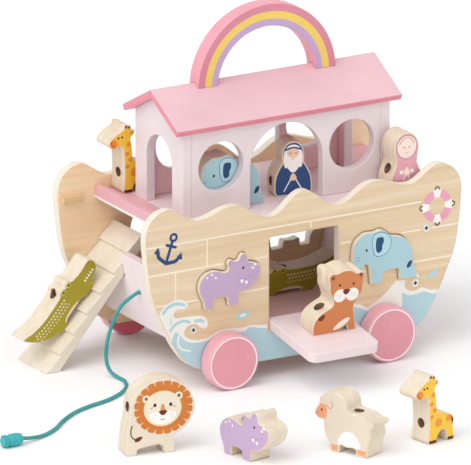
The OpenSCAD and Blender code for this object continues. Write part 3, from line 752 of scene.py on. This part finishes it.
def lioness_print():
    """A white muzzle, dark ears, a spot on the haunch and a pale belly."""
    ear = "#8a4526"
    belly = [(20.6, 3), (25, 8.2), (31, 11.8), (36.4, 12.4), (35.6, 9), (31.4, 5.8), (26, 3.2)]
    return [
        ("#d5824a", None),
        (ear, oval(16.6, 53.4, 1.9)), (ear, oval(45, 52.8, 1.9)),
        (WHITE, oval(25, 35.3, 6.4, 6.2)), (WHITE, oval(37.6, 34.9, 6.4, 6.2)),
        (NOSE, blob([(27.7, 39.9), (31.2, 41), (34.7, 39.9), (33.6, 37), (31.2, 35.6), (28.8, 37)])),
        *dots("#b79a86", 0.4, [(23.4, 35.5), (25.2, 33.8), (26, 36.6), (37, 36.4), (38.8, 34), (39.8, 36)]),
        ("#f8f0e0", blob(belly)),
        ("#77260f", blob([(4.6, 15.4), (7.4, 18.6), (11.4, 19), (10.4, 15.2), (7.6, 13.4)])),
        eye(24.2, 45.6, 1.1), eye(38, 45.1, 1.1),
    ]


def sheep_print():
    """A bare face, an ear curl, a white belly and bare feet."""
    bare = "#eba277"
    face = [(1, 36), (5, 40.8), (11, 41.2), (13.6, 37), (12.6, 30.5), (8.6, 27.4), (3.4, 28), (1, 31)]
    return [
        ("#e3d5c0", None),
        (bare, blob(face)),
        (bare, poly((10, -1), (30, -1), (30, 6.6), (10, 6.6))),
        (bare, poly((43.4, -1), (60, -1), (60, 6.6), (43.4, 6.6))),
        (WHITE, blob([(25, 7.6), (27.6, 15.4), (34, 20.8), (43, 19.4), (49.4, 9), (42, 7.4), (33, 7)])),
        ("#c79a7a", stroke([(12.8, 41.6), (17, 38.6), (19.8, 42.6), (17.6, 45.6)], 0.8)),
        eye(7.9, 36.1, 0.95),
        ("#a8623c", oval(2.6, 32.4, 0.7, 0.5)),
    ]


def crocodile_print():
    """Three rows of dots that rise with the tail, teeth, a pale belly and two eyes."""
    lid = "#c9bf48"
    teeth = [poly((x, 9.8), (x + 1.2, 13), (x + 2.4, 10)) for x in (74, 76.9, 79.8, 82.7, 85.6)]
    sheets = [("#a6991f", None)]
    for row, z, size in ((0, 17.4, 1.0), (1, 14.2, 0.9), (2, 11, 0.8)):
        for i in range(13):
            x = 50 - 3.3 * i - 1.6 * (row % 2)
            lift = 0.0042 * max(0.0, 38 - x) ** 2
            sheets.append(("#e6deb4", oval(x, z + lift, size, None, 0, 10)))
    sheets += [
        ("#e6dcc0", blob([(35, 3.4), (40, 5.8), (48, 6.4), (55, 5.6), (57.5, 3.8), (46, 3.2)])),
        ("#7d741a", stroke([(76, 11.4), (84, 12), (92, 13.4)], 0.8)),
        *[(WHITE, tooth) for tooth in teeth],
        (lid, oval(62.9, 22.6, 2.4)), (lid, oval(55, 22.4, 2.4)),
        (DARK, oval(90, 18.6, 0.6)), (DARK, oval(88, 19, 0.5)),
        eye(63.2, 22.4, 1.0), eye(55.2, 22.2, 1.0),
    ]
    return sheets


def calm_face(x, z):
    """Two resting eyes."""
    middles = (x - 2.5, x + 2.5)
    return [(DARK, stroke([(m - 0.9, z + 0.5), (m, z), (m + 0.9, z + 0.5)], 0.5)) for m in middles]


def man_print():
    """A blue robe, a head cloth with a band, a long beard and folded hands."""
    robe, sleeve = "#1f477c", "#e7edf3"
    cloth = [(9.6, 29), (9.2, 37), (10.9, 42.7), (14, 46), (18, 47.1), (22, 46), (25.1, 42.7), (26.8, 37),
             (26.4, 29), (24.4, 25.8), (18, 29.6), (11.6, 25.8)]
    beard = [(11.4, 39.6), (11, 32.4), (13.2, 25.4), (18, 21.2), (22.8, 25.4), (25, 32.4), (24.6, 39.6),
             (21.8, 36), (18, 34.8), (14.2, 36)]
    return [
        (robe, None),
        (WHITE, blob(cloth)),
        (robe, stroke([(10, 42.2), (18, 44.2), (26, 42.2)], 1.7)),
        (SKIN, oval(18, 38.4, 6.2, 5.2)),
        (WHITE, blob(beard)),
        ("#e8a795", stroke([(16.6, 34), (18, 33.5), (19.4, 34)], 0.6)),
        *calm_face(18, 39),
        (sleeve, stroke([(16.6, 17), (13, 10.6), (9.6, 4.6)], 1.1)),
        (sleeve, stroke([(19.4, 17), (23, 10.6), (26.4, 4.6)], 1.1)),
        (SKIN, blob([(14.9, 15.2), (16, 19), (18, 20.6), (20, 19), (21.1, 15.2), (18, 13.9)])),
        ("#173a68", stroke([(18, 11), (18, 2.2)], 0.6)),
    ]


def woman_print():
    """A pink robe with a hood round the face, and folded hands."""
    skin, sleeve = "#f7e0d4", "#f9dfe3"
    return [
        ("#e2a3b3", None),
        ("#c98a9d", oval(17, 42.4, 11, 11.4)),
        ("#fdf1ec", oval(17, 42.2, 9.6, 10.2)), (skin, oval(17, 41.8, 8.9, 9.4)),
        ("#dcb196", stroke([(9.8, 45.6), (12.6, 49.6), (17, 51), (21.4, 49.6), (24.2, 45.6)], 1.3)),
        ("#d98c86", stroke([(15.6, 37.2), (17, 36.6), (18.4, 37.2)], 0.6)),
        *calm_face(17, 41.6),
        (sleeve, stroke([(15.8, 17.6), (13.6, 10), (12.4, 3.4)], 1.0)),
        (sleeve, stroke([(18.2, 17.6), (20.4, 10), (21.6, 3.4)], 1.0)),
        (WHITE, oval(11.6, 19.6, 2.0, 1.6, 30)), (WHITE, oval(22.4, 19.6, 2.0, 1.6, -30)),
        (skin, blob([(13.8, 17.5), (15.2, 21.6), (17, 23.6), (18.8, 21.6), (20.2, 17.5), (17, 16)])),
    ]


PRINTS = {
    "lion": lion_print, "hippo": hippo_print, "elephant": elephant_print, "giraffe": giraffe_print,
    "lioness": lioness_print, "sheep": sheep_print, "crocodile": crocodile_print, "man": man_print,
    "woman": woman_print,
}
# Bare margin round each print in millimetres
BORDER = {
    "lion": 1.3, "hippo": 0.7, "elephant": 0.7, "giraffe": 0.7, "lioness": 0.7, "sheep": 1.4,
    "crocodile": 0.7, "man": 1.3, "woman": 1.3,
}
FIGURE_T = 23


def move(x, y, z):
    """A shift in millimetres."""
    return Matrix.Translation((x, y, z))


def turn(axis, degrees):
    """A turn about an axis."""
    return Matrix.Rotation(math.radians(degrees), 4, axis)


DECK_Z = 144.05
HOLD_Z = 44.05
RAMP = move(-119.59, 0, 91) @ turn("Y", -50.5)
DOOR = move(0, -78.5, 49.273) @ turn("X", 98.5)
MIRROR_X = Matrix.Scale(-1, 4, (1, 0, 0))
MIRROR_Y = Matrix.Scale(-1, 4, (0, 1, 0))
# Lower left corner of each figure's front, and how it stands
PLACES = {
    "sorter_hippo": move(-108.7, -87, 74.2),
    "sorter_elephant": move(46.8, -87, 70.8),
    "loose_lion": move(-253, -214, 0) @ turn("Z", -11),
    "loose_hippo": move(-176.4, -241.5, 0) @ turn("Z", -77),
    "loose_sheep": move(-98.3, -271.5, 0) @ turn("Z", -66),
    "loose_giraffe": move(-24, -318.7, 0) @ turn("Z", 9.6),
    "deck_giraffe": move(-121.5, 50.2, DECK_Z),
    "hooded_woman": move(94.8, -70, DECK_Z),
    "bearded_man": move(3.1, -23.7, DECK_Z) @ turn("Z", -13),
    "cabin_elephant": move(-77, -32.5, DECK_Z),
    "hold_crocodile": move(81, -1, HOLD_Z) @ MIRROR_X,
    "ramp_crocodile": RAMP @ move(-109, 36.5, 5.55),
    "door_lioness": DOOR @ move(-16, 4.55, 46.5) @ turn("X", -90),
}
BACK = move(0, FIGURE_T, 0) @ MIRROR_Y
# Lacing holes: the x of an upright one, the height of a level one
UPRIGHT = {"hippo": 23, "elephant": 39, "lioness": 11.5, "sheep": 40, "crocodile": 50}
LEVEL = {"giraffe": 17.5, "lion": 42, "man": 12, "woman": 21.5}
LACE_R = 4.5
LACE_SLACK = 0.12
# Height that a lacing hole's walls stay under, where it meets other forms above
LACE_TOP = {"lioness": 27}
CUT_REACH = 2
SIDEWAYS = 0.5


def shade_bore(piece, kind):
    """Gives the walls of a figure's lacing hole a dark wood: painted shade in the hole."""
    mesh = nodes[piece].data
    mesh.materials.append(looks["bore"])
    middle = UPRIGHT[kind] if kind in UPRIGHT else LEVEL[kind]
    on_wall = []
    for spot in seen_from(piece, PLACES[piece]):
        aside = (spot.x if kind in UPRIGHT else spot.z) - middle
        off = abs(math.hypot(aside, spot.y - FIGURE_T / 2) - LACE_R)
        on_wall.append(off < LACE_SLACK and spot.z < LACE_TOP.get(kind, math.inf))
    for wall in mesh.polygons:
        if all(on_wall[i] for i in wall.vertices):
            wall.material_index = 1


def mark_burnt_shaded_cuts(panel, blocks):
    """Gives the holes in a panel that blocks stand in the dark look of a burnt cut, with painted shade in the
    gap round each block.
    """
    mesh = nodes[panel].data
    mesh.materials.append(looks["bore"])
    for block in blocks:
        xs = [v.co.x / MM for v in nodes[block].data.vertices]
        zs = [v.co.z / MM for v in nodes[block].data.vertices]
        left, right = min(xs) - CUT_REACH, max(xs) + CUT_REACH
        foot, top = min(zs) - CUT_REACH, max(zs) + CUT_REACH
        for wall in mesh.polygons:
            middle = wall.center / MM
            within = left < middle.x < right and foot < middle.z < top
            if within and abs(wall.normal.y) < SIDEWAYS:
                wall.material_index = 1


def mark_outline(piece, place, loops):
    """Marks the edges round a flat face at y = 0 of a place."""
    mesh = nodes[piece].data
    if OUTLINE not in mesh.attributes:
        mesh.attributes.new(OUTLINE, "FLOAT", "EDGE")
    weights = mesh.attributes[OUTLINE].data
    rims = {frozenset((tuple(a), tuple(b))) for loop in loops for a, b in pairs(loop)}
    local = seen_from(piece, place)
    # Keys pass through a vector, so that they round as the loops do
    keys = [tuple(Vector(flat_key(p))) for p in local]
    for edge in mesh.edges:
        a, b = edge.vertices
        on_face = max(abs(local[a].y), abs(local[b].y)) < FACE_SLACK
        if on_face and frozenset((keys[a], keys[b])) in rims:
            weights[edge.index].value = 1.0


for piece, kind in FIGURES.items():
    for side, place in (("front", PLACES[piece]), ("back", PLACES[piece] @ BACK)):
        loops = face_loops(piece, place)
        mark_outline(piece, place, loops)
        face = [inset(loops[0], BORDER[kind])]
        prints(f"{piece}_{side}_print", place, face, PRINTS[kind](), piece + "_figure")


# Hull prints

WATER = "#b3d4dc"
FOAM = "#f1efe9"
LINE = "#f6ead6"
ANCHOR = "#004078"
BUOY = "#eba3bb"
CREST_H = 3.4
HULL_Y = 83
HULL_MARGIN = 0.5
HOLE_MARGIN = 1.9


def planks():
    """Pale plank lines, short joints between them and nail dots."""
    rows = ((138, 118), (112.4, 170), (83.4, 170))
    sheets = [(LINE, stroke([(-170, z), (0, z), (end, z)], 1.6)) for z, end in rows]
    for x, z0, z1 in ((-98, 113, 137.5), (-130, 84, 112), (7, 131, 137.5)):
        sheets.append((LINE, stroke([(x, z0), (x, z1)], 1.4)))
    return sheets + dots("#f8d6c4", 1.3, [(-103.4, 134), (-103.4, 124.8), (-96.3, 71.2)])


def anchor(x, z, tilt):
    """An anchor drawn about its middle, leaning by an angle."""
    spin = Matrix.Rotation(math.radians(tilt), 2)
    arms = [(-11.4, -4.6), (-9.2, -9.2), (-4.8, -11.4), (0, -13), (4.8, -11.4), (9.2, -9.2), (11.4, -4.6)]
    shapes = [
        stroke([(0, 7.4), (0, 0), (0, -12)], 2.7), stroke([(-4.8, 2.6), (0, 2.6), (4.8, 2.6)], 2.5),
        stroke(arms, 3.3), poly((-15, -6.8), (-8, -8.2), (-12.2, -0.6)),
        poly((8, -8.2), (15, -6.8), (12.2, -0.6)), poly((-3.4, -11.4), (0, -15.4), (3.4, -11.4)),
        arc_band(0, 10.6, 1.9, 4.2, 0, 180), arc_band(0, 10.6, 1.9, 4.2, 180, 360),
    ]
    return [(ANCHOR, [Vector((x, z)) + spin @ p for p in s]) for s in shapes]


def lifebuoy(x, z):
    """A ring in eight parts with a rope loop at each pale part."""
    rope = poly((15.2, -2.2), (17.4, -1.2), (17.4, 1.2), (15.2, 2.2))
    sheets = []
    for middle in (0, 90, 180, 270):
        sheets.append((WHITE, arc_band(x, z, 8, 15.4, middle - 17, middle + 17)))
        sheets.append((BUOY, arc_band(x, z, 8.2, 15, middle + 17, middle + 73)))
        out = Matrix.Rotation(math.radians(middle), 2)
        sheets.append(("#4c4a3c", stroke([Vector((x, z)) + out @ p for p in rope], 1.1)))
    return sheets


def waves():
    """Water along the keel with a curl of foam at each end."""
    bow_foam = [
        (-152, 66), (-146.9, 75.7), (-143, 81), (-137.2, 84.8), (-130.1, 86.8), (-122.3, 85.4),
        (-117.8, 81.1), (-120.4, 77.4), (-127.5, 78), (-131, 76.2), (-132.2, 72.6), (-129, 70), (-120, 69.6),
        (-110.7, 69.2), (-104.2, 68.4), (-99.4, 65.2), (-97.4, 59.7), (-99.4, 56), (-104.2, 57.4),
        (-109, 60.5), (-116, 61.6), (-121, 57), (-120.5, 52), (-115.9, 48.9), (-109.4, 46.8),
        (-101.6, 46.6), (-95.8, 47.6), (-84, 52), (-62, 51), (-46, 50), (-32, 49), (-24, 44), (-22, 30),
        (-22, 8), (-150, 8), (-165, 40),
    ]
    stern_foam = [
        (48, 8), (48, 30), (49, 46), (52, 52), (56, 53.6), (63.9, 49.3), (70, 51.6), (76.7, 55), (86.3, 62.2),
        (94.8, 70.4), (101.2, 77.4), (108.7, 78.2), (115.1, 73.4), (117, 68.1), (113, 67.4), (108, 70),
        (104, 68.4), (102.4, 64.6), (103.2, 60.6), (107.5, 57.6), (114, 57), (120.4, 58.6), (128.9, 55.2),
        (137.5, 54.2), (160, 52), (165, 8),
    ]
    bow_water = [
        (-130.5, 57), (-133.4, 51), (-132.6, 44), (-129, 36), (-122, 26), (-110, 8), (-24, 8), (-24, 30),
        (-27, 42), (-36, 46), (-50, 47), (-64, 47.2), (-84, 47.4), (-95, 45), (-101, 44.4), (-106.8, 44.1),
        (-113.3, 44.8), (-119.7, 47.3), (-124.5, 52.2), (-127.5, 55.6),
    ]
    stern_water = [
        (100, 8), (100, 46), (99.6, 54), (100.4, 57.6), (102.6, 55.4), (107.6, 53.4), (116, 53.8),
        (122.5, 54.6), (128, 52.2), (133.2, 51), (160, 48), (165, 8),
    ]
    wheel_water = [(50, 8), (50, 30), (51, 46), (53, 49.4), (56, 49.8), (65, 45.2), (72, 40), (72, 8)]
    crest = [(-60, 50.6), (-40, 49.8), (-20, 48.6), (0, 47.6), (20, 48.8), (38, 51.4), (54, 53)]
    middle_foam = [(54, 30), (-60, 30)] + crest
    middle_water = [(54, 8), (-60, 8)] + [(x, z - CREST_H) for x, z in crest]
    return [
        (FOAM, blob(middle_foam, 4)), (FOAM, blob(bow_foam, 4)), (FOAM, blob(stern_foam, 4)),
        (WATER, blob(bow_water, 4)), (WATER, blob(stern_water, 4)), (WATER, blob(middle_water, 4)),
        (FOAM, stroke([(-126.8, 53.1), (-127.5, 46.2), (-123.6, 40.3), (-115.2, 37.6)], 2.2, 0.7)),
        (WATER, stroke([(-142.4, 76.2), (-138.5, 80.6), (-132.7, 82.9), (-126.2, 82.6), (-121.4, 81)], 3.0)),
        (WATER, stroke([(-134.6, 65), (-134.6, 70.2)], 1.2)),
        (WATER, stroke([(-135.2, 59.2), (-131.4, 63.7), (-124.9, 66.2), (-119.7, 65.8), (-116.2, 64)], 2.6)),
        (WATER, stroke([(-110, 64.2), (-105.5, 64.4), (-102.4, 62.8)], 3.0)),
        (WATER, stroke([(96.9, 71.7), (102.3, 75.6), (108.7, 75.4), (113.5, 72)], 2.8)),
        (WATER, blob(wheel_water, 4)),
        (WATER, oval(131, 69.4, 6.4, 2.6, 28)), (WATER, oval(-62, 62, 7, 3.6, 10)),
        (LINE, oval(-62, 62, 3.5, 1.5, 10)),
    ]


hull_sheets = planks() + anchor(-135.3, 134.6, -19) + lifebuoy(135.4, 131.6) + waves()
for side, place in (("near", move(0, -HULL_Y, 0)), ("far", move(0, HULL_Y, 0) @ MIRROR_Y)):
    loops = face_loops(f"{side}_hull_panel", place)
    face = [inset(loops[0], HULL_MARGIN)] + [inset(loop, -HOLE_MARGIN) for loop in loops[1:]]
    prints(f"{side}_hull_print", place, face, hull_sheets, "ark")

for look, width, names in PIECES:
    for name in names:
        soften(name, width, look)
for piece, kind in FIGURES.items():
    shade_bore(piece, kind)
mark_burnt_shaded_cuts("near_hull_panel", ("sorter_hippo", "sorter_elephant"))


# Pull cord

WALL_LEAN = math.radians(12.7)
CORD_R = 1.75
STRANDS = 3
CORD_TWIST = 0.11
KNOT_TWIST = 0.05
LAY_DEPTH = 0.06
CORD_STEPS = 20
WALL_HALF = 4.5
STRAIGHT = 9
KNOT_SIZE = 0.85
KNOT_STEPS = 72
cord_mid = Vector((-114.86, 0, 70))
cord_out = Vector((-math.cos(WALL_LEAN), 0, -math.sin(WALL_LEAN)))
cord_turns = [cord_mid - WALL_HALF * cord_out, cord_mid, cord_mid + STRAIGHT * cord_out] + poly(
    (-138, -1, 60), (-147, -2, 47), (-154, -4, 31), (-157, -7, 16), (-156, -12, 6), (-153, -20, 2),
    (-153, -33, 1.8), (-160, -48, 1.8), (-173, -61, 1.8), (-192, -72, 1.8), (-214, -79, 1.8),
    (-234, -88, 1.8), (-254, -103, 1.8), (-272, -120, 1.8), (-290, -131, 2), (-305, -136, 3.6),
    (-316, -138, 5.75),
)


def tube(name, line, twist, closed=False, sides=18):
    """A twisted rope along points in millimetres; twist is the turns from one point to the next."""
    count = len(line)
    verts = []
    side = Vector((0, 1, 0))
    for i, p in enumerate(line):
        ahead = line[(i + 1) % count] if closed else line[min(i + 1, count - 1)]
        behind = line[i - 1] if closed else line[max(i - 1, 0)]
        way = (ahead - behind).normalized()
        side = (side - side.dot(way) * way).normalized()
        up = way.cross(side)
        for k in range(sides):
            a = 2 * math.pi * k / sides
            lay = math.cos(STRANDS * (a - 2 * math.pi * twist * i))
            r = CORD_R * (1 - LAY_DEPTH + LAY_DEPTH * lay)
            verts.append((p + r * (math.cos(a) * side + math.sin(a) * up)) * MM)
    faces = []
    for i in range(count if closed else count - 1):
        here, there = i * sides, (i + 1) % count * sides
        for k in range(sides):
            after = (k + 1) % sides
            faces.append([here + k, here + after, there + after, there + k])
    if not closed:
        faces += [list(range(sides))[::-1], [(count - 1) * sides + k for k in range(sides)]]
    mesh = bpy.data.meshes.new(name)
    mesh.from_pydata(verts, [], faces)
    mesh.polygons.foreach_set("use_smooth", [True] * len(faces))
    mesh.materials.append(looks["cord"])
    piece = stand(name, mesh)
    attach(piece, "ark")
    return piece


cord_line = curve(cord_turns, CORD_STEPS)
cord = tube("pull_cord_rope", cord_line, CORD_TWIST)
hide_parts("pull_cord")


def trefoil(t):
    """Point of a knot with three loops."""
    return Vector((math.sin(t) + 2 * math.sin(2 * t), math.cos(t) - 2 * math.cos(2 * t), -math.sin(3 * t)))


low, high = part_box("cord_knot")
knot_mid = (Vector(low) + Vector(high)) / 2 / MM
knot_turns = [2 * math.pi * i / KNOT_STEPS for i in range(KNOT_STEPS)]
knot_spin = Vector((0, 0, 1)).rotation_difference(cord_out).to_matrix()
knot_line = [knot_mid + knot_spin @ trefoil(t) * KNOT_SIZE for t in knot_turns]
knot = tube("cord_knot_rope", knot_line, KNOT_TWIST, True)
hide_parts("cord_knot")


# Studio

def floor_look():
    """Plain pale paper."""
    look = Look("floor_paper")
    tone = look.patchy(6)
    look.bump(look.noise(300, 2), 0.02, 0.5 * MM)
    return look.finish(look.mix(tone, linear("#fdfdfe"), linear("#fafafb")), 0.8)


# In metres
FLOOR_HALF = 9.0
floor_mesh = bpy.data.meshes.new("studio_floor")
corners = [(x * FLOOR_HALF, y * FLOOR_HALF, 0) for x, y in ((-1, -1), (1, -1), (1, 1), (-1, 1))]
floor_mesh.from_pydata(corners, [], [[0, 1, 2, 3]])
floor_mesh.materials.append(floor_look())
floor = stand("studio_floor", floor_mesh)


def sun(name, source, strength, angle):
    """A broad soft light shining from a direction."""
    data = bpy.data.lights.new(name, "SUN")
    data.energy = strength
    data.angle = math.radians(angle)
    stand(name, data).rotation_euler = (-Vector(source)).to_track_quat("-Z", "Y").to_euler()


sun("key", (-0.62, -0.22, 0.8), 1.5, 55)
sun("fill", (0.25, -0.9, 0.55), 0.35, 90)

AMBIENT = 0.66
world = bpy.data.worlds.new("studio")
bpy.context.scene.world = world
world.use_nodes = True
tree = world.node_tree
ambient = tree.nodes["Background"]
ambient.inputs["Color"].default_value = linear("#ffffff")
ambient.inputs["Strength"].default_value = AMBIENT
white = tree.nodes.new("ShaderNodeBackground")
white.inputs["Color"].default_value = linear("#fdfcfb")
rays = tree.nodes.new("ShaderNodeLightPath")
sky = tree.nodes.new("ShaderNodeMixShader")
seen = rays.outputs["Is Camera Ray"]
for ray in ("Is Glossy Ray", "Is Transmission Ray"):
    either = tree.nodes.new("ShaderNodeMath")
    either.operation = "MAXIMUM"
    tree.links.new(seen, either.inputs[0])
    tree.links.new(rays.outputs[ray], either.inputs[1])
    seen = either.outputs[0]
tree.links.new(seen, sky.inputs[0])
tree.links.new(ambient.outputs[0], sky.inputs[1])
tree.links.new(white.outputs[0], sky.inputs[2])
tree.links.new(sky.outputs[0], tree.nodes["World Output"].inputs["Surface"])

ELEVATION = math.radians(17.65)
HEADING = Vector((-0.497, -0.868, 0)).normalized()
TARGET = Vector((-21.93, 0, 108.97)) * MM
DISTANCE = 17.3
LENS = 1500.1
SENSOR = 36
CLIP_END = 200
scene = bpy.context.scene
scene.view_settings.view_transform = "Standard"
camera_data = bpy.data.cameras.new("camera")
camera_data.lens = LENS
camera_data.sensor_width = SENSOR
camera_data.clip_end = CLIP_END
camera = stand("camera", camera_data)
towards = HEADING * math.cos(ELEVATION) + Vector((0, 0, math.sin(ELEVATION)))
camera.location = TARGET + towards * DISTANCE
camera.rotation_euler = (-towards).to_track_quat("-Z", "Y").to_euler()
scene.camera = camera
